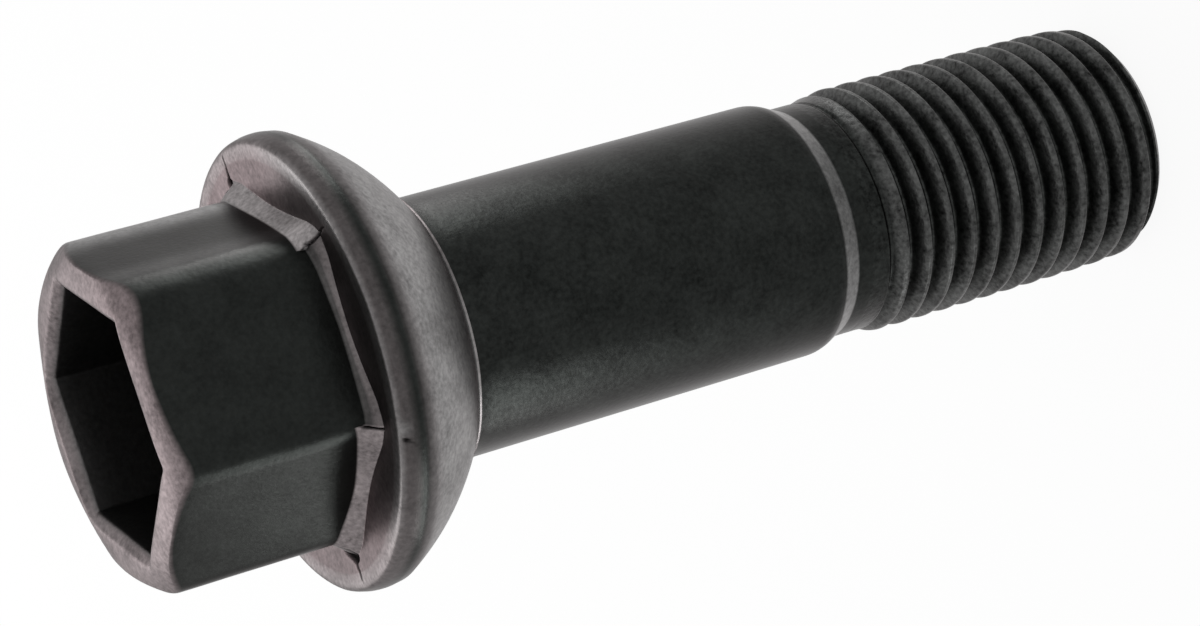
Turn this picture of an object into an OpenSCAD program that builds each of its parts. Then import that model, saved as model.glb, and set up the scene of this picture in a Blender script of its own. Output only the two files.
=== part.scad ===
// Wheel bolt with a hollow hexagon head and a ball seat collar, forged in one piece.
// It stands on its threaded end: the origin is the centre of that end face, and +Z runs
// along the axis towards the head. All sizes are in millimetres.

/* [Hexagon] */
// Width across the flats of the hexagon
across_flats = 16.9; // [15.5:0.1:18]
// Height of the head above the collar's face
head_h = 11; // [7:0.1:16]
// Rounding of the hexagon's six long edges
corner_r = 1.2; // [0.4:0.1:2.5]
// Diameter of the flat ring on the front, where the corner chamfer starts
crown_d = 16.2; // [15.5:0.1:17.5]
// Angle between the corner chamfer and the front ring
crown_angle = 39; // [20:1:60]
// Width across the flats of the flared skirt, at the collar's face
skirt_across = 18.3; // [17.6:0.1:19.4]
// Angle between the skirt and the axis
skirt_angle = 45; // [30:1:65]

/* [Recess] */
// Width across the flats of the hollow, at its mouth
recess_across = 12.7; // [9:0.1:13.2]
// Depth of the hollow to the edge of its floor
recess_depth = 9.6; // [4:0.1:10.5]
// Draft of the hollow's walls, in degrees
recess_draft = 1; // [0.5:0.5:3]
// Depth of the bevel round the mouth
mouth_bevel = 0.4; // [0.1:0.05:0.6]
// Depth of the cone in the floor
floor_cone = 1.1; // [0.4:0.1:2]

/* [Collar] */
// Diameter over the rim of the collar
collar_d = 24.8; // [24:0.1:27]
// Radius of the rim's rounding
rim_r = 2.3; // [1.6:0.1:2.8]
// How far the edge of the front face lies inside the rim
face_margin = 0.3; // [0.2:0.02:0.6]
// How far the front face falls from the skirt to its edge
face_fall = 0.05; // [0.05:0.05:0.5]
// How much the radius of the ball seat is larger than the collar's
seat_margin = 1.6; // [0.6:0.1:4]
// Width of the ledge between the ball seat and the shank
seat_ledge = 0.7; // [0.34:0.02:1.4]
// Fillet between the ledge and the shank
ledge_fillet = 0.25; // [0.1:0.05:0.3]

/* [Shank] */
// Diameter of the plain shank
shank_d = 14.35; // [14.3:0.05:15.5]
// Length from the threaded end to the small end of the ball seat
under_seat = 45.1; // [32:0.1:90]
// Angle between the shank's lower shoulder and the axis
shoulder_angle = 28; // [20:1:50]
// Rounding between the shank and its shoulder
shoulder_round = 2.6; // [0.5:0.1:3.6]
// Fillet between the shoulder and the neck
neck_fillet = 1; // [0.2:0.1:1.5]

/* [Thread] */
// Diameter over the thread's crests
thread_d = 13.9; // [13.3:0.05:14.2]
// Length of the thread, from the end to its last full crest
thread_l = 17.9; // [8:0.1:26]
// Chamfer of the end, along the radius
end_chamfer = 0.95; // [0.4:0.05:1.4]
// Diameter of the plain neck that the thread is rolled on
neck_d = 13.1; // [12:0.05:13.25]
// Length of the neck, between the thread's run-out and the shoulder
neck_l = 2.6; // [0.8:0.1:6]
// Angle between the thread's run-out and the axis
runout_angle = 45; // [20:1:70]

/* [Forging laps] */
// Width of the fold at each corner of the skirt
lap_w = 0.34; // [0.15:0.01:0.6]
// Depth of the folds below the collar's face
lap_depth = 0.3; // [0.1:0.05:0.6]
// How far the folds run past the skirt's corners
lap_run = 0.65; // [0.2:0.05:0.8]

/* [Hidden] */
$fn = 96;
CORNERS = 6;
CORNER_STEPS = 8;
STEEL = "#2e2d2e";

// Radius over a hexagon's corners, from its width across flats
function corner_of(across) = across/2/cos(30);

thread_r = thread_d/2;
neck_r = neck_d/2;
shank_r = shank_d/2;
seat_r = collar_d/2 + seat_margin;

// Heights up the axis from the threaded end
neck_low = thread_l + (thread_r - neck_r)/tan(runout_angle);
neck_high = neck_low + neck_l;
shoulder_high = neck_high + (shank_r - neck_r)/tan(shoulder_angle);

// Length of the shoulder's slope, and a rounding that keeps to its share of it
slope_l = (shank_r - neck_r)/sin(shoulder_angle);
function on_slope(round_r, share) = min(round_r, share*slope_l/tan(shoulder_angle/2));

// The seat ends on the ledge, and the rim's arc lies against the seat's ball from inside
seat_end_r = shank_r + seat_ledge;
ball_z = under_seat + sqrt(seat_r^2 - seat_end_r^2);
rim_c = collar_d/2 - rim_r;
rim_z = ball_z - sqrt((seat_r - rim_r)^2 - rim_c^2);
touch_r = rim_c*seat_r/(seat_r - rim_r);
touch_z = ball_z - (ball_z - rim_z)*seat_r/(seat_r - rim_r);

// The front face is a shallow cone from the foot of the hexagon to an edge on the rim's arc
face_r = collar_d/2 - face_margin;
face_edge_z = rim_z + sqrt(rim_r^2 - (face_r - rim_c)^2);
face_z = face_edge_z + face_fall;
head_z = face_z + head_h;

// The hollow narrows to its floor, and its 45 degree bevel widens it by as much each side
floor_across = recess_across - 2*recess_depth*tan(recess_draft);
floor_z = head_z - recess_depth;

// Thread, neck, shoulder and shank, as half a section from the axis outwards
module shank_section() {
    polygon([
        [0, 0],
        [thread_r - end_chamfer, 0],
        [thread_r, end_chamfer],
        [thread_r, thread_l],
        [neck_r, neck_low],
        [neck_r, neck_high],
        [shank_r, shoulder_high],
        [shank_r, under_seat],
        [0, under_seat]
    ]);
}

// Sliver between a rounding and the corner that it softens, where a straight side along
// the axis meets the slope of the shoulder. The corner is at r and z, and side is 1 where
// the straight side runs up from it and the rounding bulges, or -1 where it runs down
module shoulder_corner(r, z, round_r, side) {
    reach = round_r*tan(shoulder_angle/2);
    difference() {
        polygon([
            [r, z + side*reach],
            [r, z],
            [r - side*reach*sin(shoulder_angle), z - side*reach*cos(shoulder_angle)]
        ]);
        translate([r - side*round_r, z + side*reach]) circle(round_r);
    }
}

// Fillet in the corner between the shank and the ledge of the collar
module ledge_fill() {
    difference() {
        translate([shank_r, under_seat - ledge_fillet]) square(ledge_fillet);
        translate([shank_r + ledge_fillet, under_seat - ledge_fillet]) circle(ledge_fillet);
    }
}

module collar_section() {
    // Body of the collar inside the chords of the seat and the rim
    polygon([
        [0, under_seat],
        [seat_end_r, under_seat],
        [touch_r, touch_z],
        [face_r, face_edge_z],
        [skirt_across/2, face_z],
        [0, face_z]
    ]);
    // Belly of the ball seat outside its chord
    intersection() {
        translate([seat_end_r, under_seat])
            square([touch_r - seat_end_r, touch_z - under_seat]);
        translate([0, ball_z]) circle(seat_r);
    }
    // Belly of the rim outside its chord
    intersection() {
        polygon([
            [rim_c, touch_z],
            [collar_d, touch_z],
            [collar_d, face_edge_z],
            [face_r, face_edge_z]
        ]);
        translate([rim_c, rim_z]) circle(rim_r);
    }
}

module turned_body() {
    rotate_extrude() {
        difference() {
            shank_section();
            shoulder_corner(shank_r, shoulder_high, on_slope(shoulder_round, 0.7), 1);
        }
        shoulder_corner(neck_r, neck_high, on_slope(neck_fillet, 0.3), -1);
        ledge_fill();
        collar_section();
    }
}

// Hexagon with rounded corners, corners on the X axis. Each rounding is a few straight steps,
// which meet the flats and the crown's cone without the slivers of a true tangent arc
module rounded_hexagon(across, round_r) {
    inner = corner_of(across - 2*round_r);
    polygon([for (i = [0:CORNERS - 1]) for (turn = [-30:60/CORNER_STEPS:30])
        let (a = i*60)
        [inner*cos(a) + round_r*cos(a + turn), inner*sin(a) + round_r*sin(a + turn)]]);
}

// Tapered hexagon, where three bars of one section cross, corners on the X axis
module hex_taper(low_across, high_across, h) {
    reach = corner_of(max(low_across, high_across)) + 1;
    intersection_for (turn = [30, 90, 150])
        rotate([90, 0, turn])
            linear_extrude(2*reach, center = true)
                polygon([
                    [-low_across/2, 0],
                    [low_across/2, 0],
                    [high_across/2, h],
                    [-high_across/2, h]
                ]);
}

// Turned outline whose cone takes the corners off the front of the head
module crown() {
    widest = corner_of(across_flats);
    rotate_extrude() polygon([
        [0, face_edge_z],
        [widest, face_edge_z],
        [widest, head_z - (widest - crown_d/2)*tan(crown_angle)],
        [crown_d/2, head_z],
        [0, head_z]
    ]);
}

// The hexagon starts at the level of the face's edge, below the face that it stands on
module hexagon() {
    intersection() {
        translate([0, 0, face_edge_z]) linear_extrude(head_z - face_edge_z)
            rounded_hexagon(across_flats, corner_r);
        crown();
    }
}

// Skirt that flares from the hexagon to the collar's face. It starts as low as the hexagon
// and ends inside it, so that its top edge rises where the hexagon's corners are rounded
module skirt() {
    flare = tan(skirt_angle);
    low_across = skirt_across + 2*face_fall*flare;
    high_across = across_flats - 3*corner_r;
    translate([0, 0, face_edge_z])
        hex_taper(low_across, high_across, (low_across - high_across)/2/flare);
}

// Hollow with a cone in its floor, and a bevel that runs on above the mouth
module recess() {
    translate([0, 0, floor_z]) hex_taper(floor_across, recess_across, recess_depth);
    translate([0, 0, head_z - mouth_bevel])
        hex_taper(recess_across, recess_across + 4*mouth_bevel, 2*mouth_bevel);
    translate([0, 0, floor_z - floor_cone]) cylinder(floor_cone, r1 = 0, r2 = floor_across/2);
}

// Folds where the forged metal lapped over at the corners of the skirt. Each is a slit that
// starts at the hexagon's corner, and is widest at the skirt's and pointed at both ends
module laps() {
    start = corner_of(across_flats - 2*corner_r) + corner_r;
    corner = corner_of(skirt_across);
    low_z = face_z - face_fall/2 - lap_depth;
    high_z = face_z + (skirt_across/2 - start*cos(30))/tan(skirt_angle);
    for (i = [0:CORNERS - 1]) rotate(i*60)
        translate([0, 0, low_z]) linear_extrude(high_z - low_z) polygon([
            [start, 0],
            [corner, lap_w/2],
            [corner + lap_run, 0],
            [corner, -lap_w/2]
        ]);
}

module wheel_bolt() {
    color(STEEL) difference() {
        union() {
            turned_body();
            hexagon();
            skirt();
        }
        recess();
        laps();
    }
}

wheel_bolt();
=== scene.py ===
import math
from collections import namedtuple

import bmesh
import bpy
import numpy as np
from mathutils import Matrix, Vector, noise


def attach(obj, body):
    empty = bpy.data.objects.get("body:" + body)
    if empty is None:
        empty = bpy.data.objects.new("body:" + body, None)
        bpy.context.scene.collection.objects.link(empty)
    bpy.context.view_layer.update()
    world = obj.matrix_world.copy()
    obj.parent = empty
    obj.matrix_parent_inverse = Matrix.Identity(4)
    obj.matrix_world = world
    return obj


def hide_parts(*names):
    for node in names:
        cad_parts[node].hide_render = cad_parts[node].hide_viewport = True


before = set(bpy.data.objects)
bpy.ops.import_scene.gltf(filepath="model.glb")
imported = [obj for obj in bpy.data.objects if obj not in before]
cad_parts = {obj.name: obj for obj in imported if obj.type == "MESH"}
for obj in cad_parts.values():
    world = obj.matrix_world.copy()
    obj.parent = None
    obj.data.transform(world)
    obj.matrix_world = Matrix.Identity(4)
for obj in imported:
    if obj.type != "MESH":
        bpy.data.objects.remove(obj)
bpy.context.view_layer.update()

# Studio
# A pale floor in a white surround, lit by a broad soft lamp behind and above the bolt and
# two low panels beside it. The surround and the floor show white to the camera and in the
# steel's reflections.
WHITE = (1.0, 1.0, 1.0, 1.0)
SURROUND_LIGHT = 0.75
FLOOR_COLOUR = (0.9, 0.9, 0.9, 1.0)
FLOOR_WHITENESS = 0.92
FLOOR_REACH = 3.0
FLOOR_HEIGHT = -0.0001
LAMP_SIZE = (0.50, 0.36)
LAMP_PLACE = Vector((0.02, 0.46, 0.40))
LAMP_AIM = Vector((0.0, 0.0, 0.045))
LAMP_WATTS = 1.18


def feed(tree, socket, value):
    """Sets a socket to a plain value, or links another node's output to it."""
    if isinstance(value, bpy.types.NodeSocket):
        tree.links.new(value, socket)
    else:
        socket.default_value = value


def maths(tree, operation, *values):
    """A Math node on plain values or other nodes' outputs."""
    node = tree.nodes.new("ShaderNodeMath")
    node.operation = operation
    for socket, value in zip(node.inputs, values):
        feed(tree, socket, value)
    return node.outputs["Value"]


def seen_or_mirrored(tree):
    """1 for rays from the camera and for rays that polished or clear things send on."""
    path = tree.nodes.new("ShaderNodeLightPath").outputs
    mirrored = maths(tree, "MAXIMUM", path["Is Glossy Ray"], path["Is Transmission Ray"])
    return maths(tree, "MAXIMUM", path["Is Camera Ray"], mirrored)


def mixed_shaders(tree, share, first, second):
    """The first shader where the share is 0, and the second where it is 1."""
    mix = tree.nodes.new("ShaderNodeMixShader")
    for socket, value in zip(mix.inputs, (share, first, second)):
        tree.links.new(value, socket)
    return mix.outputs["Shader"]


world = bpy.data.worlds.new("White surround")
world.use_nodes = True
surround = world.node_tree
surround.nodes.clear()


def white_surround(strength):
    background = surround.nodes.new("ShaderNodeBackground")
    background.inputs["Color"].default_value = WHITE
    background.inputs["Strength"].default_value = strength
    return background.outputs["Background"]


surround.links.new(mixed_shaders(surround, seen_or_mirrored(surround),
                                 white_surround(SURROUND_LIGHT), white_surround(1.0)),
                   surround.nodes.new("ShaderNodeOutputWorld").inputs["Surface"])
bpy.context.scene.world = world
bpy.context.scene.view_settings.view_transform = "Standard"

paper = bpy.data.materials.new("White studio paper")
paper.use_nodes = True
paper_tree = paper.node_tree
matt = paper_tree.nodes["Principled BSDF"]
matt.inputs["Base Color"].default_value = FLOOR_COLOUR
matt.inputs["Roughness"].default_value = 0.9
matt.inputs["Specular IOR Level"].default_value = 0.1
glow = paper_tree.nodes.new("ShaderNodeEmission")
glow.inputs["Color"].default_value = WHITE
glow.inputs["Strength"].default_value = 1.0
whiteness = maths(paper_tree, "MULTIPLY", seen_or_mirrored(paper_tree), FLOOR_WHITENESS)
paper_tree.links.new(mixed_shaders(paper_tree, whiteness, matt.outputs["BSDF"],
                                   glow.outputs["Emission"]),
                     paper_tree.nodes["Material Output"].inputs["Surface"])

floor_mesh = bpy.data.meshes.new("floor")
floor_mesh.from_pydata([(x * FLOOR_REACH, y * FLOOR_REACH, FLOOR_HEIGHT)
                        for x, y in ((-1, -1), (1, -1), (1, 1), (-1, 1))], [], [(0, 1, 2, 3)])
floor_mesh.materials.append(paper)
floor = bpy.data.objects.new("floor", floor_mesh)
bpy.context.collection.objects.link(floor)


def soft_lamp(name, size, watts, place, turn):
    """A glowing rectangle that the camera doesn't see."""
    light = bpy.data.lights.new(name, "AREA")
    light.shape = "RECTANGLE"
    light.size, light.size_y = size
    light.energy = watts
    lamp = bpy.data.objects.new(name, light)
    lamp.location = place
    lamp.rotation_euler = turn
    lamp.visible_camera = False
    bpy.context.collection.objects.link(lamp)


soft_lamp("Softbox behind", LAMP_SIZE, LAMP_WATTS, LAMP_PLACE,
          (LAMP_AIM - LAMP_PLACE).to_track_quat("-Z", "Y").to_euler())

# Two low panels lie beside the bolt and shine up, to light its long edges
PANEL_SIZE = (0.06, 0.10)
FACING_UP = (math.pi, 0.0, 0.0)
soft_lamp("Low panel left", PANEL_SIZE, 0.15, (-0.128, 0.0, 0.0002), FACING_UP)
soft_lamp("Low panel right", PANEL_SIZE, 0.14, (0.128, 0.01, 0.0002), FACING_UP)

# Camera
# A long lens held above the head and in front of it, rolled so that the bolt lies across
# the picture with its head low on the left.
LENS = 112.48
CAMERA_PLACE = Vector((-0.02249, -0.18175, 0.12299))
LOOK = Vector((0.102190, 0.893576, -0.437127)).normalized()
PICTURE_TOP = Vector((0.940537, -0.229599, -0.250347))

camera_data = bpy.data.cameras.new("Camera")
camera_data.lens = LENS
camera_data.sensor_width = 36.0
camera_data.clip_start = 0.01
camera = bpy.data.objects.new("Camera", camera_data)
picture_right = LOOK.cross(PICTURE_TOP).normalized()
picture_top = picture_right.cross(LOOK)
camera.matrix_world = (Matrix.Translation(CAMERA_PLACE)
                       @ Matrix((picture_right, picture_top, -LOOK)).transposed().to_4x4())
bpy.context.collection.objects.link(camera)
bpy.context.scene.camera = camera

# Coating
# The steel is blackened all over. The coat is near black on the smooth flats and the
# shank, and a paler grey where the forging dies left the steel rough. That grey's faint
# pink is painted, the warm tint of the light from above. Each point of the mesh carries
# how pale, how bare and how deep in a fold it is. The pale mark also holds painted shade
# on the collar, the bare mark holds painted highlights as well as thin coat, and the fold
# mark holds painted shade in the laps.
SMOOTH_COAT = (0.017, 0.0185, 0.0175, 1.0)
FORGED_COAT_AND_WARM_LIGHT = (0.138, 0.109, 0.112, 1.0)
# A pale grey: thin coat on the seat, in the hollow and on the thread, and painted highlight on
# the face's edge, the lip, the flat at 330 degrees, the rim's spot and the shoulder's cone
THIN_COAT_AND_HIGHLIGHT = (0.355, 0.352, 0.350, 1.0)
# Near black: painted shade in the laps' folds
FOLD_SHADE = (0.003, 0.003, 0.003, 1.0)
MIRROR_TINT = (1.0, 0.98, 0.98)
MARKS = ("pale", "bare", "fold")
# The mottle's strength on the smooth coat, which is 1 less than on the forged one
SMOOTH_MOTTLE = 1.2
# How much rougher the forged coat and the folds are than the smooth coat
FORGED_ROUGHER, FOLD_ROUGHER = 0.1, 0.5


def colour_blend(tree, factor, first, second):
    """Colour between two others. A Mix node's colour sockets follow its other kinds."""
    node = tree.nodes.new("ShaderNodeMix")
    node.data_type = "RGBA"
    for number, value in ((0, factor), (6, first), (7, second)):
        feed(tree, node.inputs[number], value)
    return node.outputs[2]


mottle = bpy.data.node_groups.new("Coat mottle", "ShaderNodeTree")
for label, value in (("Cloud Scale", 500.0), ("Speck Scale", 3600.0), ("Contrast", 0.3)):
    mottle.interface.new_socket(
        label, in_out="INPUT", socket_type="NodeSocketFloat").default_value = value
for label in ("Shade", "Height"):
    mottle.interface.new_socket(label, in_out="OUTPUT", socket_type="NodeSocketFloat")
mottle_in = mottle.nodes.new("NodeGroupInput").outputs
mottle_out = mottle.nodes.new("NodeGroupOutput").inputs
own_place = mottle.nodes.new("ShaderNodeTexCoord").outputs["Object"]


def mottle_layer(scale, detail, roughness, weight):
    """Noise about 0 on the bolt's own coordinates, at one of the group's two scales."""
    texture = mottle.nodes.new("ShaderNodeTexNoise")
    for label, value in (("Vector", own_place), ("Scale", mottle_in[scale]),
                         ("Detail", detail), ("Roughness", roughness)):
        feed(mottle, texture.inputs[label], value)
    return maths(mottle, "MULTIPLY",
                 maths(mottle, "SUBTRACT", texture.outputs["Fac"], 0.5), weight)


uneven = maths(mottle, "ADD", mottle_layer("Cloud Scale", 3.0, 0.5, 1.2),
               mottle_layer("Speck Scale", 2.0, 0.6, 1.6))
shade = maths(mottle, "ADD", maths(mottle, "MULTIPLY", uneven, mottle_in["Contrast"]), 1.0)
mottle.links.new(shade, mottle_out["Shade"])
mottle.links.new(uneven, mottle_out["Height"])


def coated_steel(name, contrast, roughness, grain, sheen):
    """Black coated steel. Contrast is how strong the mottle is, grain how far it stands out
    in metres, and sheen the share of light that the coat mirrors at a low angle."""
    steel = bpy.data.materials.new(name)
    steel.use_nodes = True
    tree = steel.node_tree
    shader = tree.nodes["Principled BSDF"].inputs
    shader["Metallic"].default_value = 1.0
    shader["Specular Tint"].default_value = [sheen * part for part in MIRROR_TINT] + [1.0]
    marks = {}
    for mark in MARKS:
        reader = tree.nodes.new("ShaderNodeAttribute")
        reader.attribute_name = mark
        marks[mark] = reader.outputs["Fac"]
    coat = tree.nodes.new("ShaderNodeGroup")
    coat.node_tree = mottle
    tree.links.new(maths(tree, "MULTIPLY", maths(tree, "ADD", marks["pale"], SMOOTH_MOTTLE),
                         contrast), coat.inputs["Contrast"])

    colour = colour_blend(tree, marks["pale"], SMOOTH_COAT, FORGED_COAT_AND_WARM_LIGHT)
    colour = colour_blend(tree, marks["bare"], colour, THIN_COAT_AND_HIGHLIGHT)
    shaded = tree.nodes.new("ShaderNodeVectorMath")
    shaded.operation = "SCALE"
    tree.links.new(colour, shaded.inputs[0])
    tree.links.new(coat.outputs["Shade"], shaded.inputs["Scale"])
    colour = colour_blend(tree, marks["fold"], shaded.outputs["Vector"], FOLD_SHADE)
    tree.links.new(colour, shader["Base Color"])

    rough = maths(tree, "ADD", maths(tree, "MULTIPLY", marks["pale"], FORGED_ROUGHER),
                  roughness)
    rough = maths(tree, "ADD", rough, maths(tree, "MULTIPLY", marks["fold"], FOLD_ROUGHER))
    tree.links.new(rough, shader["Roughness"])
    bump = tree.nodes.new("ShaderNodeBump")
    bump.inputs["Strength"].default_value = 1.0
    bump.inputs["Distance"].default_value = grain
    tree.links.new(coat.outputs["Height"], bump.inputs["Height"])
    tree.links.new(bump.outputs["Normal"], shader["Normal"])
    return steel


forged_steel = coated_steel("Blackened forged steel", contrast=0.42, roughness=0.31,
                            grain=0.000005, sheen=0.7)
drawn_steel = coated_steel("Blackened drawn steel", contrast=0.7, roughness=0.31,
                           grain=0.000006, sheen=0.86)
rolled_steel = coated_steel("Blackened rolled steel", contrast=1.3, roughness=0.36,
                            grain=0.000014, sheen=1.0)

# Thread
# A right-hand metric thread of 1.5 mm pitch, rolled on the end of the blank. The grooves
# start thin and shallow below the neck, and run out through the chamfer at the end. The
# tree works in metres, and the sizes that it shares with the shank are in millimetres.
ROUND_COLUMNS = 144
FIRST_ANGLE = -30.0
NECK_RADIUS = 6.58
NECK_LOW = 20.0
END_RADIUS = 5.995

THREAD_SIZES = (
    ("Height", NECK_LOW / 1000), ("First Angle", math.radians(FIRST_ANGLE)),
    ("Pitch", 0.0015), ("Crest at Angle 0", 0.000455),
    ("Crest Radius", 0.00693), ("Root Radius", 0.00602),
    ("Blank Radius", NECK_RADIUS / 1000), ("End Radius", END_RADIUS / 1000),
    ("Flank Slope", 1.732), ("Root Flat", 0.00009), ("Rounding", 0.00016),
    ("Full Crest Height", 0.0174), ("Crest Fades At", 0.0190),
    ("Full Groove Height", 0.0176), ("Groove Fades At", 0.0197),
    ("Groove Ends Above Blank", 0.00003),
    ("Lead-in Drop", 0.00030), ("Lead-in Length", 0.0018),
    ("Wear Starts Below Crest", 0.00066), ("Wear Full Below Crest", 0.00020),
    ("Bare in Groove", 0.03), ("Bare on Crest", 0.12), ("Wear Fades Over", 0.0008),
    ("Top Row", 0.00002), ("Seam Weld", 0.000001))

thread_tree = bpy.data.node_groups.new("Rolled thread", "GeometryNodeTree")
thread_tree.is_modifier = True
thread_sockets = {}
for kind, sizes_of_kind in (("NodeSocketFloat", THREAD_SIZES),
                            ("NodeSocketInt", (("Columns", ROUND_COLUMNS), ("Rows", 280)))):
    for label, value in sizes_of_kind:
        thread_sockets[label] = thread_tree.interface.new_socket(
            label, in_out="INPUT", socket_type=kind)
        thread_sockets[label].default_value = value
thread_sockets["Steel"] = thread_tree.interface.new_socket(
    "Steel", in_out="INPUT", socket_type="NodeSocketMaterial")
thread_tree.interface.new_socket("Geometry", in_out="OUTPUT", socket_type="NodeSocketGeometry")
sizes = thread_tree.nodes.new("NodeGroupInput").outputs
thread_out = thread_tree.nodes.new("NodeGroupOutput")


def rule(operation, *values):
    """One step of the sum that gives the thread's surface."""
    return maths(thread_tree, operation, *values)


def fade(value, start, end, low, high):
    """Smooth change from low to high as value goes from start to end."""
    node = thread_tree.nodes.new("ShaderNodeMapRange")
    node.interpolation_type = "SMOOTHSTEP"
    for label, source in (("Value", value), ("From Min", start), ("From Max", end),
                          ("To Min", low), ("To Max", high)):
        feed(thread_tree, node.inputs[label], source)
    return node.outputs["Result"]


def reshape(kind, geometry, **values):
    """Sends the geometry through a node of that kind, with its other inputs by name."""
    node = thread_tree.nodes.new(kind)
    for label, value in {"Geometry": geometry, **values}.items():
        feed(thread_tree, node.inputs[label], value)
    return node.outputs["Geometry"]


# A flat sheet of unit size: across it the turn round the axis, and up it the height
sheet = thread_tree.nodes.new("GeometryNodeMeshGrid")
for label, value in (("Size X", 1.0), ("Size Y", 1.0),
                     ("Vertices X", rule("ADD", sizes["Columns"], 1.0)),
                     ("Vertices Y", rule("ADD", sizes["Rows"], 1.0))):
    feed(thread_tree, sheet.inputs[label], value)
on_sheet = thread_tree.nodes.new("ShaderNodeSeparateXYZ")
thread_tree.links.new(thread_tree.nodes.new("GeometryNodeInputPosition").outputs["Position"],
                      on_sheet.inputs["Vector"])
turns = rule("ADD", on_sheet.outputs["X"], 0.5)
angle = rule("ADD", rule("MULTIPLY", turns, math.tau), sizes["First Angle"])
height = rule("MULTIPLY", rule("ADD", on_sheet.outputs["Y"], 0.5), sizes["Height"])

# Distance along the axis from the middle of the nearest groove
above_crest = rule("SUBTRACT", height, sizes["Crest at Angle 0"])
pitches_up = rule("SUBTRACT", rule("DIVIDE", above_crest, sizes["Pitch"]),
                  rule("DIVIDE", angle, math.tau))
from_middle = rule("ABSOLUTE", rule("SUBTRACT", rule("FRACT", pitches_up), 0.5))
from_groove = rule("MULTIPLY", from_middle, sizes["Pitch"])

# Radius of the crest, lower at the end where the thread leads in, and of the groove
crest = fade(height, sizes["Full Crest Height"], sizes["Crest Fades At"],
             sizes["Crest Radius"], sizes["Blank Radius"])
lead_in = rule("EXPONENT", rule("DIVIDE", rule("MULTIPLY", height, -1.0),
                                sizes["Lead-in Length"]))
crest = rule("SUBTRACT", crest, rule("MULTIPLY", lead_in, sizes["Lead-in Drop"]))
root = fade(height, sizes["Full Groove Height"], sizes["Groove Fades At"],
            sizes["Root Radius"],
            rule("ADD", sizes["Blank Radius"], sizes["Groove Ends Above Blank"]))
flank = rule("ADD", root, rule("MULTIPLY", rule("SUBTRACT", from_groove, sizes["Root Flat"]),
                               sizes["Flank Slope"]))
groove = rule("SMOOTH_MAX", root, flank, sizes["Rounding"])
surface = rule("SMOOTH_MIN", crest, groove, sizes["Rounding"])
chamfer = rule("ADD", sizes["End Radius"], height)
surface = rule("MINIMUM", surface, chamfer)

# The top row lies on the blank, where the neck's first row meets it
top_row = rule("GREATER_THAN", height, rule("SUBTRACT", sizes["Height"], sizes["Top Row"]))
surface = rule("ADD", rule("MULTIPLY", surface, rule("SUBTRACT", 1.0, top_row)),
               rule("MULTIPLY", sizes["Blank Radius"], top_row))

wound = thread_tree.nodes.new("ShaderNodeCombineXYZ")
for label, value in (("X", rule("MULTIPLY", surface, rule("COSINE", angle))),
                     ("Y", rule("MULTIPLY", surface, rule("SINE", angle))), ("Z", height)):
    feed(thread_tree, wound.inputs[label], value)
on_crest = fade(surface,
                rule("SUBTRACT", sizes["Crest Radius"], sizes["Wear Starts Below Crest"]),
                rule("SUBTRACT", sizes["Crest Radius"], sizes["Wear Full Below Crest"]),
                sizes["Bare in Groove"], sizes["Bare on Crest"])
below_neck = fade(height,
                  rule("SUBTRACT", sizes["Crest Fades At"], sizes["Wear Fades Over"]),
                  sizes["Crest Fades At"], 1.0, 0.0)
worn_sheet = thread_tree.nodes.new("GeometryNodeStoreNamedAttribute")
worn_sheet.data_type = "FLOAT"
worn_sheet.domain = "POINT"
for label, value in (("Name", "bare"), ("Geometry", sheet.outputs["Mesh"]),
                     ("Value", rule("MULTIPLY", on_crest, below_neck))):
    feed(thread_tree, worn_sheet.inputs[label], value)
thread = reshape("GeometryNodeSetPosition", worn_sheet.outputs["Geometry"],
                 Position=wound.outputs["Vector"])
thread = reshape("GeometryNodeMergeByDistance", thread, Distance=sizes["Seam Weld"])
thread = reshape("GeometryNodeRealizeInstances", thread)
thread = reshape("GeometryNodeSetMaterial", thread, Material=sizes["Steel"])
thread_tree.links.new(thread, thread_out.inputs["Geometry"])

thread_host = bpy.data.objects.new("thread_host", bpy.data.meshes.new("thread_host"))
bpy.context.collection.objects.link(thread_host)
rolling = thread_host.modifiers.new("Rolled thread", "NODES")
rolling.node_group = thread_tree
rolling[thread_sockets["Steel"].identifier] = rolled_steel
thread_host.data.update()
thread_mesh = bpy.data.meshes.new_from_object(
    thread_host.evaluated_get(bpy.context.evaluated_depsgraph_get()))
thread_host.modifiers.remove(rolling)
bpy.data.objects.remove(thread_host)

# Shank
# The thread's end face, and above the thread the plain neck that it was rolled on, the
# shoulder's cone, and the round shank up to the fillet under the collar. All are turned
# sections, so each is rows of points round the axis, in millimetres.
NECK_HIGH = 20.95
SHOULDER_EDGE = (7.06, 21.98)
SHANK_LOW = 22.4
SHANK_RADIUS = 7.17
UNDER_SEAT = 45.03
# The fillet's points: how far out from the shank, how far below the seat, and how pale
FILLET = ((0.0, 0.25, 0.0), (0.03, 0.1, 0.0), (0.12, 0.02, 0.0), (0.28, 0.0, 0.2))
# The collar's ledge ends here, and the shank's rows meet the collar's this far inside it
SEAT_END = 7.868
LEDGE_INSET = 0.08
# The end face has a slight hollow: each ring's radius and how far it lies inside the end
END_FACE = ((END_RADIUS, 0.0), (5.9, 0.0), (5.2, 0.0), (4.6, 0.06), (3.6, 0.16), (2.4, 0.22),
            (1.2, 0.25))
END_PALE = 0.3
ROUND_ANGLES = FIRST_ANGLE + np.arange(ROUND_COLUMNS) * 360.0 / ROUND_COLUMNS

# A station of a section: its place, how far its corner is softened, how many more rows
# divide the way to the next station, and how pale and bare that way is
Station = namedtuple("Station", "radius height soft rows pale bare",
                     defaults=(0.0, 0, 0.0, 0.0))
SOFT_ROWS = 6
# A softened corner takes at most this share of the way to the next station
LARGEST_SHARE = 0.45


def towards(start, end, distance):
    """The points at a distance from start on the way to end, one for each column."""
    way = end - start
    length = np.maximum(np.hypot(*way), 1e-9)
    return start + way / length * np.minimum(distance, LARGEST_SHARE * length)


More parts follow.
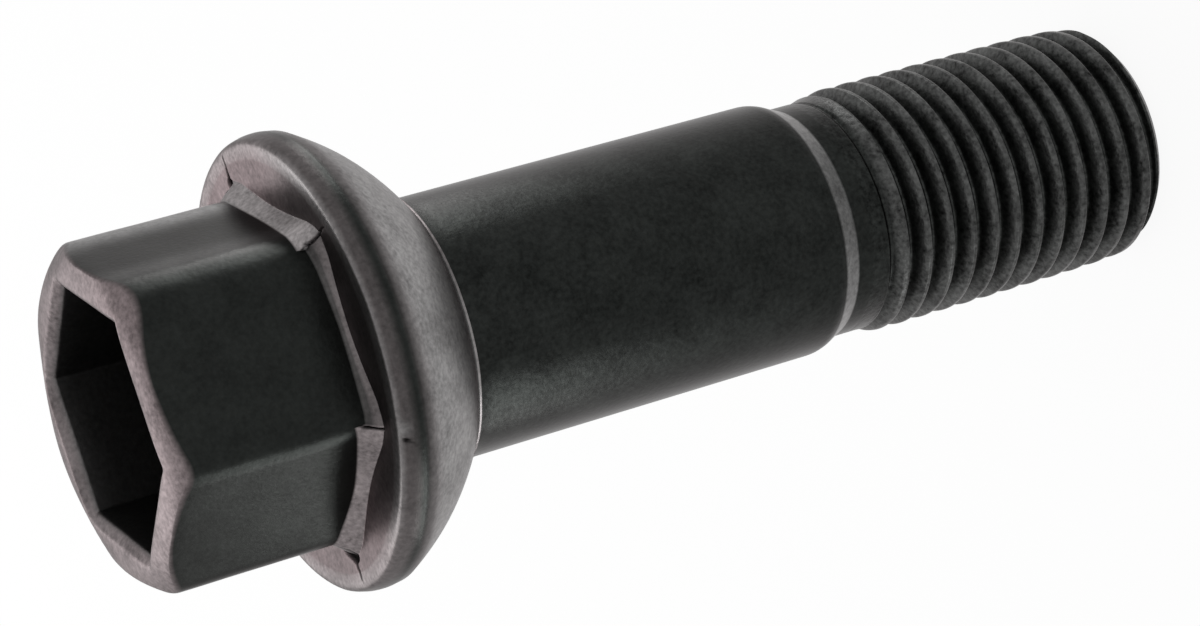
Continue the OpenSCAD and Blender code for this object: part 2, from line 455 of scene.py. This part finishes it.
def soften(stations, columns):
    """Rows of a section through its stations, each with its points, pale and bare. A
    station's values are a number or one value a column."""
    points = [np.stack([np.broadcast_to(part, columns).astype(float)
                        for part in (station.radius, station.height)])
              for station in stations]
    rows = [(points[0], stations[0].pale, stations[0].bare)]
    for i, station in enumerate(stations[:-1]):
        if i > 0:
            was = stations[i - 1]
            start = towards(points[i], points[i - 1], station.soft)
            end = towards(points[i], points[i + 1], station.soft)
            for t in np.linspace(0, 1, SOFT_ROWS) if np.any(station.soft) else (0.5,):
                rows.append(((1 - t)**2 * start + 2 * t * (1 - t) * points[i] + t**2 * end,
                             was.pale + (station.pale - was.pale) * t,
                             was.bare + (station.bare - was.bare) * t))
        leave, ahead = rows[-1][0], points[i + 1]
        if i + 2 < len(stations):
            ahead = towards(ahead, points[i], stations[i + 1].soft)
        for t in np.linspace(0, 1, station.rows + 2)[1:-1]:
            rows.append((leave + (ahead - leave) * t, station.pale, station.bare))
    rows.append((points[-1], stations[-2].pale, stations[-2].bare))
    return rows


def around(radius, degrees, height):
    """Points at a radius, an angle round the axis and a height."""
    turn = np.radians(degrees)
    return np.stack([radius * np.cos(turn), radius * np.sin(turn), height], -1)


bolt_bm = bmesh.new()
layers = {mark: bolt_bm.verts.layers.float.new(mark) for mark in MARKS}


def skin(rows, angles, folds=None, pole=None):
    """Adds rows of points to the bolt, and closes the last row with a pole at a height."""
    columns = rows[0][0].shape[1]
    angles = np.broadcast_to(angles, (len(rows), columns))
    grid = []
    for number, (row, pale, bare) in enumerate(rows):
        line = [bolt_bm.verts.new(point)
                for point in around(row[0], angles[number], row[1]) / 1000]
        fold = 0.0 if folds is None else folds[number]
        for mark, values in zip(MARKS, (pale, bare, fold)):
            for vertex, value in zip(line, np.broadcast_to(values, columns)):
                vertex[layers[mark]] = float(value)
        grid.append(line)
    for low, high in zip(grid, grid[1:]):
        for a in range(columns):
            b = (a + 1) % columns
            bolt_bm.faces.new((low[a], low[b], high[b], high[a]))
    if pole is not None:
        tip = bolt_bm.verts.new((0, 0, pole / 1000))
        for a in range(columns):
            bolt_bm.faces.new((grid[-1][a], grid[-1][(a + 1) % columns], tip))
    return grid


skin([(np.stack([np.full(ROUND_COLUMNS, radius), np.full(ROUND_COLUMNS, rise)]), END_PALE, 0.0)
      for radius, rise in END_FACE], ROUND_ANGLES, pole=END_FACE[-1][1])

# The shoulder's cone has a painted highlight, faintest where it faces 275 degrees and the way
# opposite, and brightest at right angles to them, above all at 5 degrees
HIGHLIGHT_FAINTEST_AT = 275
HIGHLIGHT_LEAST, HIGHLIGHT_MORE, HIGHLIGHT_UNEVEN = 0.27, 0.5, 0.17
aside = np.sin(np.radians(ROUND_ANGLES - HIGHLIGHT_FAINTEST_AT))
shoulder_highlight = HIGHLIGHT_LEAST + (HIGHLIGHT_MORE + HIGHLIGHT_UNEVEN * aside) * aside**2
shank_grid = skin(soften([
    Station(NECK_RADIUS, NECK_LOW, rows=2),
    Station(NECK_RADIUS, NECK_HIGH, soft=0.08, rows=2, bare=shoulder_highlight),
    Station(*SHOULDER_EDGE, soft=0.1, rows=1),
    Station(SHANK_RADIUS, SHANK_LOW, soft=0.25, rows=24),
    *(Station(SHANK_RADIUS + out, UNDER_SEAT - below, rows=1, pale=pale)
      for out, below, pale in FILLET),
    Station(SEAT_END - LEDGE_INSET, UNDER_SEAT, pale=0.6),
], ROUND_COLUMNS), ROUND_ANGLES)
shank_faces = len(bolt_bm.faces)

# Collar and head
# One forging with the shank. The seat is a zone of a 14 mm ball, the rim a nearly straight
# band, and the front face a shallow dish. Six flats stand on it, each with a flared foot that
# the dies folded over at the corners, and the hollow in the front is a drafted hexagon.
SECTOR_COLUMNS = 48
# Degrees from a corner to the middle of a flat
HALF_FLAT = 30.0
# Share by which the columns crowd at the corners, where the roundings and the folds are
CROWDING = 0.85
steps = np.linspace(-1, 1, SECTOR_COLUMNS, endpoint=False)
from_corner = np.tile(HALF_FLAT * ((1 - CROWDING) * steps + CROWDING * steps**3), 6)
corner_angle = np.repeat(np.arange(6) * 60.0, SECTOR_COLUMNS)
head_angles = corner_angle + from_corner
even_angles = corner_angle + np.tile(HALF_FLAT * steps, 6)
off_corner = np.abs(from_corner)
off_middle = HALF_FLAT - off_corner
whole_turn = np.round(head_angles, 6) % 360
flat_number = (whole_turn // 60).astype(int)

# The lip and the groove between the ledge and the seat
LIP_HEIGHT = 0.14
GROOVE_DEPTH, GROOVE_RISE = 0.07, 0.25
# The seat goes from a radius to an angle off the ball's axis and ends in an edge, and the
# rim's band is an arc about a centre of its own, between two angles off the level
BALL_RADIUS, BALL_HEIGHT = 14.0, 56.76
SEAT_START = 8.1
SEAT_LAST_TURN = 61.5
SEAT_RIM = (12.378, 50.56)
BAND_CENTRE, BAND_HEIGHT, BAND_ROUND = 9.042, 50.768, 3.35
BAND_TURNS = (-1.8, 8.5)
# The front face
FACE_EDGE, FACE_EDGE_HEIGHT, FACE_EDGE_BAND = 12.17, 51.965, 0.9
FACE_HEIGHT, FACE_DISH, DISH_START = 51.85, 0.11, 9.4
# The hexagon and its hollow
HEAD_HEIGHT = 62.945
ACROSS_FLATS = 16.9
CROWN_RADIUS = 7.2
CROWN_SOFT, CROWN_CORNER_SOFTER = 0.12, 0.2
HOLLOW_ACROSS, HOLLOW_DEPTH, HOLLOW_DRAFT, HOLLOW_ROUND = 12.7, 9.6, 1.0, 0.25
MOUTH_BEVEL, MOUTH_FALL, MOUTH_ROUND = 0.5, 0.42, 0.45
FLOOR_CONE, FLOOR_RING = 1.1, (0.6, 1.0)
# The foot is hollow along each flat and stands out at the corners, which are cut off round.
# FOOT_SPREAD is how many degrees from a flat's middle it has come out in full
FOOT_ENDS, FOOT_CORNER, FOOT_SPREAD = 9.15, 10.45, 23.0
FOOT_SHARPNESS = 60.0
CLIMB_CURVE = 1.6
SLOPE_SHARE = 0.55
# One value for each flat, whose middles lie at 30, 90, 150, 210, 270 and 330 degrees
FOOT_MIDDLES = (8.80, 8.80, 8.80, 8.80, 8.64, 8.86)
CLIMB_MIDDLES = (0.80, 0.80, 0.80, 0.68, 0.40, 0.96)
CLIMB_ENDS = (1.10, 1.10, 1.10, 1.20, 0.62, 1.06)
FLAT_FALLS = (0.13, 0.13, 0.13, 0.13, 0.20, 0.08)
FOOT_PALE = (1.0, 1.0, 1.0, 1.0, 0.5, 1.0)
FOOT_BARE = (0.4, 0.4, 0.4, 0.25, 0.15, 0.5)
SLOPE_PALE = (1.0, 1.0, 1.0, 1.0, 0.15, 1.0)
SLOPE_BARE = (0.4, 0.4, 0.4, 0.25, 0.08, 0.5)
# One value for each corner, from 0 degrees in steps of 60
CORNER_FALLS = (0.214, 0.214, 0.192, 0.197, 0.145, 0.218)
CORNER_ROUNDS = (2.0, 1.2, 1.2, 1.9, 1.6, 3.2)
CROWN_PALE = (0.95, 0.75, 0.7, 1.0, 1.0, 0.95)
CROWN_BARE = (0.14, 0.06, 0.06, 0.14, 0.09, 0.05)
# One value for each row, from the shank outwards
SEAT_PALE = 13 * (0.6,) + (0.1,)
SEAT_BARE = (0.25, 0.45, 0.65) + 8 * (0.75,) + (0.72, 0.45, 0.02)
BAND_PALE = (0.0, 0.0, 0.1, 0.15, 0.25, 0.4)
BAND_BARE = (0.0, 0.01, 0.03, 0.06, 0.09, 0.13)


def per_flat(values):
    """Each flat's value on its columns, and the mean of two flats at the corner between."""
    values = np.array(values)
    here, before = values[flat_number], values[flat_number - 1]
    return np.where(off_corner < 1e-6, (here + before) / 2, here)


def hexagon_radius(across, rounding):
    """Distance from the axis to a hexagon with rounded corners, one value a column."""
    slant = math.cos(math.radians(HALF_FLAT))
    centre = (across / 2 - rounding) / slant
    touch = np.degrees(np.arctan2(rounding / 2, centre + rounding * slant))
    flats = across / 2 / np.cos(np.radians(off_middle))
    beside = centre * np.sin(np.radians(off_corner))
    arcs = (centre * np.cos(np.radians(off_corner))
            + np.sqrt(np.maximum(rounding**2 - beside**2, 0)))
    return np.where(off_corner > touch, flats, arcs)


def crown_height(radius):
    """The front of the head is a low dome, steeper or flatter from corner to corner."""
    share = (1 - np.cos(np.pi * off_corner / HALF_FLAT)) / 2
    fall = np.repeat(CORNER_FALLS, SECTOR_COLUMNS) * (1 - share) + per_flat(FLAT_FALLS) * share
    return HEAD_HEIGHT - fall * np.maximum(radius - CROWN_RADIUS, 0)**2


def face_height(radius):
    """The front face rises in a smooth step from the foot to its edge."""
    share = np.clip((radius - DISH_START) / (FACE_EDGE - DISH_START), 0, 1)
    return FACE_HEIGHT + FACE_DISH * share**2 * (3 - 2 * share)


def facing(direction, start, full):
    """From 0 to 1 on the columns that face a direction in degrees, as the cosine of the
    angle from it goes from start to full."""
    return np.clip((np.cos(np.radians(head_angles - direction)) - start) / (full - start), 0, 1)


hexagon = hexagon_radius(ACROSS_FLATS, np.repeat(CORNER_ROUNDS, SECTOR_COLUMNS))
mouth = hexagon_radius(HOLLOW_ACROSS + 2 * MOUTH_BEVEL, MOUTH_ROUND)
hollow_top = hexagon_radius(HOLLOW_ACROSS, HOLLOW_ROUND)
hollow_end = hexagon_radius(
    HOLLOW_ACROSS - 2 * HOLLOW_DEPTH * math.tan(math.radians(HOLLOW_DRAFT)), HOLLOW_ROUND)
out = np.clip(off_middle / FOOT_SPREAD, 0, 1)
foot_flat = per_flat(FOOT_MIDDLES) * (1 - out**2) + FOOT_ENDS * out**2
foot = ((foot_flat / np.cos(np.radians(off_middle)))**-FOOT_SHARPNESS
        + FOOT_CORNER**-FOOT_SHARPNESS)**(-1 / FOOT_SHARPNESS)
climb = (per_flat(CLIMB_MIDDLES) + (per_flat(CLIMB_ENDS) - per_flat(CLIMB_MIDDLES))
         * (off_middle / HALF_FLAT)**CLIMB_CURVE)
slope = foot * (1 - SLOPE_SHARE) + hexagon * SLOPE_SHARE
edge_soft = CROWN_SOFT + CROWN_CORNER_SOFTER * (1 - off_corner / HALF_FLAT)
crown_pale, crown_bare = (
    np.interp(head_angles, np.arange(-60, 420, 60), values[-1:] + values + values[:1])
    for values in (CROWN_PALE, CROWN_BARE))

# The collar's face has painted shade, darker and less pink, on the sides at 270 and 168
# degrees, and the rim's band has painted shade at 270
FACE_PALE, NEAR_PAINTED_SHADE, UNDER_PAINTED_SHADE = 0.95, 0.45, 0.25
near_side = facing(270, 0.35, 0.75)
under_side = facing(168, 0.8, 1.0)
face_pale_and_shade = FACE_PALE - NEAR_PAINTED_SHADE * near_side - UNDER_PAINTED_SHADE * under_side
# The lip below the seat has a painted highlight on the side at 250 degrees
LIP_BARE, LIP_HIGHLIGHT = 0.05, 0.35
lip_bare_and_highlight = LIP_BARE + LIP_HIGHLIGHT * facing(250, 0.0, 1.0)**2
# The flat at 330 degrees has painted highlights: a faint band beside the corner at 300, and
# a bright one along the corner at 0. Each band has how bright it is, where it lies and how
# wide it is, in degrees
HIGHLIT_FLAT = 5
FLAT_HIGHLIGHT_BANDS = ((0.11, 313, 6), (0.75, 358, 9))
flat_highlight = np.where(flat_number == HIGHLIT_FLAT,
                  sum(bare * np.exp(-((whole_turn - middle) / width)**2)
                      for bare, middle, width in FLAT_HIGHLIGHT_BANDS), 0.0)

head_stations = [
    Station(SEAT_END - LEDGE_INSET, UNDER_SEAT, pale=0.6, bare=0.3),
    Station(SEAT_END, UNDER_SEAT, soft=0.03, pale=0.5, bare=lip_bare_and_highlight),
    Station(SEAT_END, UNDER_SEAT + LIP_HEIGHT, soft=0.02, bare=0.5 * lip_bare_and_highlight),
    Station(SEAT_END - GROOVE_DEPTH, UNDER_SEAT + GROOVE_RISE)]
seat_turn = np.linspace(math.asin(SEAT_START / BALL_RADIUS), math.radians(SEAT_LAST_TURN),
                        len(SEAT_BARE))
for turn, pale, bare in zip(seat_turn, SEAT_PALE, SEAT_BARE):
    head_stations.append(Station(BALL_RADIUS * math.sin(turn),
                                 BALL_HEIGHT - BALL_RADIUS * math.cos(turn),
                                 pale=pale, bare=bare))
head_stations.append(Station(*SEAT_RIM, soft=0.1, bare=0.02))
# On the side at 270 the band's pale and bare marks are lowered: painted shade
band_turn = np.radians(np.linspace(*BAND_TURNS, len(BAND_BARE)))
for turn, pale, bare in zip(band_turn, BAND_PALE, BAND_BARE):
    head_stations.append(Station(BAND_CENTRE + BAND_ROUND * math.cos(turn),
                                 BAND_HEIGHT + BAND_ROUND * math.sin(turn),
                                 pale=pale * (1 - 0.3 * near_side),
                                 bare=bare * (1 - 0.5 * near_side)))
head_stations += [
    # A painted highlight runs all round the face's edge, brighter on the side at 270, where it
    # also reaches a little onto the face
    Station(FACE_EDGE, FACE_EDGE_HEIGHT, soft=0.4, pale=face_pale_and_shade, bare=0.25 + 0.25 * near_side),
    Station(FACE_EDGE - FACE_EDGE_BAND, face_height(FACE_EDGE - FACE_EDGE_BAND), rows=12,
            pale=face_pale_and_shade, bare=0.09 * near_side),
    Station(foot, face_height(foot), soft=0.05, rows=2, pale=per_flat(FOOT_PALE),
            bare=per_flat(FOOT_BARE)),
    Station(slope, face_height(foot) + SLOPE_SHARE * climb, rows=3, pale=per_flat(SLOPE_PALE),
            bare=per_flat(SLOPE_BARE)),
    Station(hexagon, FACE_HEIGHT + climb, soft=0.08, rows=13, bare=flat_highlight),
    Station(hexagon, crown_height(hexagon), soft=edge_soft, rows=1, pale=crown_pale,
            bare=crown_bare)]
for share in (0.8, 0.6, 0.4, 0.2):
    ring = mouth + share * (hexagon - mouth)
    head_stations.append(Station(ring, crown_height(ring), pale=crown_pale, bare=crown_bare))
head_stations += [
    Station(mouth, crown_height(mouth), soft=0.2, pale=crown_pale, bare=0.16),
    Station(hollow_top, HEAD_HEIGHT - MOUTH_FALL, soft=0.22, rows=8, pale=0.1, bare=0.18),
    Station(hollow_end, HEAD_HEIGHT - HOLLOW_DEPTH, soft=0.15, rows=3, pale=0.1, bare=0.18),
    Station(FLOOR_RING[0], HEAD_HEIGHT - HOLLOW_DEPTH - FLOOR_RING[1], pale=0.1, bare=0.18)]
head_rows = soften(head_stations, 6 * SECTOR_COLUMNS)

# The first rows are evenly divided, as the shank's are, and over the next ones the columns
# move towards the corners
CROWDING_ROWS = 13
crowded = np.clip((np.arange(len(head_rows)) - 1) / CROWDING_ROWS, 0, 1)[:, None]
row_angles = even_angles * (1 - crowded) + head_angles * crowded

# Laps where the forged metal folded over. Each is a line of (radius, degrees, height, half
# width), and near it the surface sinks and takes a painted shade. On the rim a lap sinks
# mostly inwards, on the foot's slope inwards and down, and on the face down.
LAP_DEPTH = 0.16
LAP_REACH, LAP_STEEPNESS = 1.5, 1.8
LAP_HEIGHTS = (51.2, 53.6)
RIM_FROM, SLOPE_FROM = 12.1, 52.0
LAPS = [
    [(11.88, 0.5, 51.94, 0.03), (11.45, 0.5, 51.93, 0.05), (10.91, 1.3, 51.91, 0.07),
     (10.70, 1.6, 51.90, 0.10), (10.55, 2.2, 51.90, 0.17), (10.40, 2.6, 51.90, 0.20),
     (10.30, 1.4, 52.00, 0.20), (10.17, 0.1, 52.14, 0.16), (9.95, 359.6, 52.40, 0.05)],
    [(11.18, 297.6, 51.90, 0.03), (10.75, 298.6, 51.90, 0.04), (10.42, 299.3, 51.90, 0.08),
     (10.00, 299.3, 52.05, 0.05), (9.75, 299.9, 52.20, 0.05), (9.60, 300.3, 52.50, 0.09)],
    [(10.29, 239.0, 51.92, 0.08), (10.11, 239.2, 52.18, 0.06), (9.95, 239.5, 52.42, 0.07),
     (9.75, 239.9, 52.71, 0.10), (9.60, 241.0, 52.85, 0.14)],
    [(12.28, 239.5, 51.90, 0.08), (12.35, 238.8, 51.66, 0.14), (12.37, 238.1, 51.34, 0.07)],
    [(9.68, 180.1, 52.88, 0.07), (9.85, 180.1, 52.66, 0.12), (10.10, 180.0, 52.33, 0.17),
     (10.42, 179.0, 51.90, 0.22), (10.60, 177.6, 51.89, 0.16), (10.91, 177.7, 51.90, 0.07),
     (11.19, 178.1, 51.91, 0.06), (11.57, 178.3, 51.93, 0.03)],
    [(10.04, 171.2, 51.86, 0.06), (10.26, 174.7, 51.87, 0.13), (10.46, 177.2, 51.88, 0.22)],
    [(11.00, 61.2, 51.90, 0.03), (10.60, 60.6, 51.90, 0.05), (10.30, 60.2, 51.98, 0.08),
     (9.95, 60.0, 52.25, 0.06), (9.65, 59.8, 52.60, 0.06)],
    [(11.10, 119.0, 51.90, 0.03), (10.65, 119.5, 51.90, 0.06), (10.30, 119.8, 51.98, 0.09),
     (9.95, 120.1, 52.25, 0.06), (9.65, 120.2, 52.60, 0.05)],
]


def lap_marks(points):
    """How much each point, given in millimetres, lies in a lap, from 0 to 1."""
    marks = np.zeros(len(points))
    for lap in LAPS:
        for first, second in zip(lap, lap[1:]):
            start = around(*first[:3])
            way = around(*second[:3]) - start
            along = np.clip((points - start) @ way / (way @ way), 0, 1)
            away = np.linalg.norm(points - start - along[:, None] * way, axis=1)
            reach = LAP_REACH * (first[3] + (second[3] - first[3]) * along)
            marks = np.maximum(marks, np.clip(LAP_STEEPNESS * (1 - away / reach), 0, 1))
    return marks


folds = []
for (row, _, _), degrees in zip(head_rows, row_angles):
    if row[1].min() < LAP_HEIGHTS[0] or row[1].max() > LAP_HEIGHTS[1]:
        folds.append(0.0)
        continue
    marks = lap_marks(around(row[0], degrees, row[1]))
    row[0] -= LAP_DEPTH * marks * np.where(row[0] > RIM_FROM, 1.0,
                                           np.where(row[1] > SLOPE_FROM, 0.7, 0.0))
    row[1] -= LAP_DEPTH * marks * np.where(row[0] > RIM_FROM, 0.2, 1.0)
    folds.append(marks)

# A spot of the rim beside its notch has a painted highlight, paler than the rest. It is drawn
# on the rim's rows alone, which lie between two heights and outside a radius
SPOT = (12.33, 241.8, 51.75)
SPOT_SIZE, SPOT_HIGHLIGHT = 0.4, 0.3
SPOT_ROWS, SPOT_FROM = (51.2, 52.1), 12.0
for number, ((row, pale, bare), degrees) in enumerate(zip(head_rows, row_angles)):
    if SPOT_ROWS[0] < row[1].mean() < SPOT_ROWS[1] and row[0].min() > SPOT_FROM:
        away = np.linalg.norm(around(row[0], degrees, row[1]) - around(*SPOT), axis=1)
        head_rows[number] = (row, pale, bare + SPOT_HIGHLIGHT * np.exp(-(away / SPOT_SIZE)**2))
head_grid = skin(head_rows, row_angles, folds, pole=HEAD_HEIGHT - HOLLOW_DEPTH - FLOOR_CONE)

# The dies leave the forged faces a few hundredths of a millimetre uneven
UNEVEN_DEPTH = 0.022
UNEVEN_SCALE = 0.32
UNEVEN_BELOW = 0.35
OTHER_WAVE = Vector((40, 0, 0))


def sunk(place):
    """How far the surface lies in, in millimetres and 0 or less, at a place in the waves."""
    return UNEVEN_DEPTH * min(noise.noise(place) - UNEVEN_BELOW, 0.0)


for line in head_grid[2:-1]:
    for vertex in line:
        place = vertex.co * 1000
        outward = Vector((place.x, place.y, 0)).normalized()
        vertex.co += (outward * sunk(place * UNEVEN_SCALE)
                      + Vector((0, 0, sunk(place * UNEVEN_SCALE + OTHER_WAVE)))) / 1000

# The collar's rows have twice the columns of the shank's, and meet them in one strip
last, first = shank_grid[-1], head_grid[0]
for a in range(ROUND_COLUMNS):
    b = (a + 1) % ROUND_COLUMNS
    bolt_bm.faces.new((last[a], first[2 * a + 1], first[2 * a]))
    bolt_bm.faces.new((last[a], last[b], first[2 * b], first[2 * a + 1]))
blank_faces = len(bolt_bm.faces)

# Whole bolt
# The thread joins the blank, and the two become one closed piece of steel. The head keeps
# the forged coat, the shank is drawn smooth and the thread is rolled.
STEELS = (forged_steel, rolled_steel, drawn_steel)
FORGED, ROLLED, DRAWN = range(3)
JOINT_WELD = 0.0000015

bolt_bm.from_mesh(thread_mesh)
for number, face in enumerate(bolt_bm.faces):
    face.smooth = True
    if number < shank_faces:
        face.material_index = DRAWN
    elif number < blank_faces:
        face.material_index = FORGED
    else:
        face.material_index = ROLLED
bmesh.ops.remove_doubles(bolt_bm, verts=bolt_bm.verts, dist=JOINT_WELD)
bmesh.ops.recalc_face_normals(bolt_bm, faces=bolt_bm.faces)

bolt_mesh = bpy.data.meshes.new("forged_bolt")
bolt_bm.to_mesh(bolt_mesh)
bolt_bm.free()
for steel in STEELS:
    bolt_mesh.materials.append(steel)
bolt = bpy.data.objects.new("forged_bolt", bolt_mesh)
bpy.context.collection.objects.link(bolt)
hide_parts("wheel_bolt")
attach(bolt, "root")
